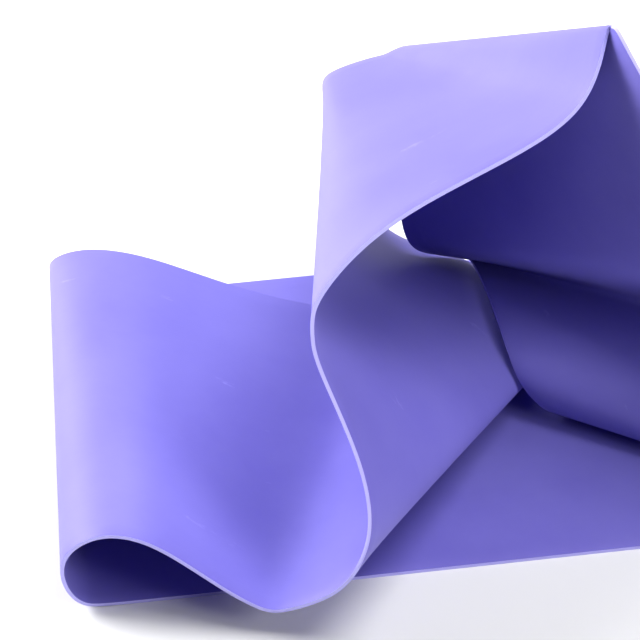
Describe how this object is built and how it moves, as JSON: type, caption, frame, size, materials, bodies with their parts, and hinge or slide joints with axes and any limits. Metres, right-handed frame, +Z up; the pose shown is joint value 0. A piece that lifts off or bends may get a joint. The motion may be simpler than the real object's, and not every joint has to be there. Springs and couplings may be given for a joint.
{
  "type": "flat stretch band",
  "caption": "Wide flat rubber stretch band lying in loose folds: a low run on the table, a rolled side fold, a hooked rise to a leaning crest and a roll back down onto the run.",
  "frame": {"origin": "on the table under the middle of the object's box", "axes": "+X along the lower run away from the side fold, +Y across the band towards the back, +Z up"},
  "size_m": [0.3857, 0.2283, 0.157],
  "materials": {
    "band_rubber": "satin"
  },
  "bodies": {
    "root": {"floor_run": "band_rubber", "left_fold": "band_rubber", "arch": "band_rubber", "valley": "band_rubber", "hook": "band_rubber", "hook_return": "band_rubber", "side_bulge": "band_rubber", "tall_face": "band_rubber", "ridge": "band_rubber", "rear_wall": "band_rubber", "rear_valley": "band_rubber", "hump": "band_rubber", "front_tuck": "band_rubber", "tail": "band_rubber"}
  },
  "joints": []
}
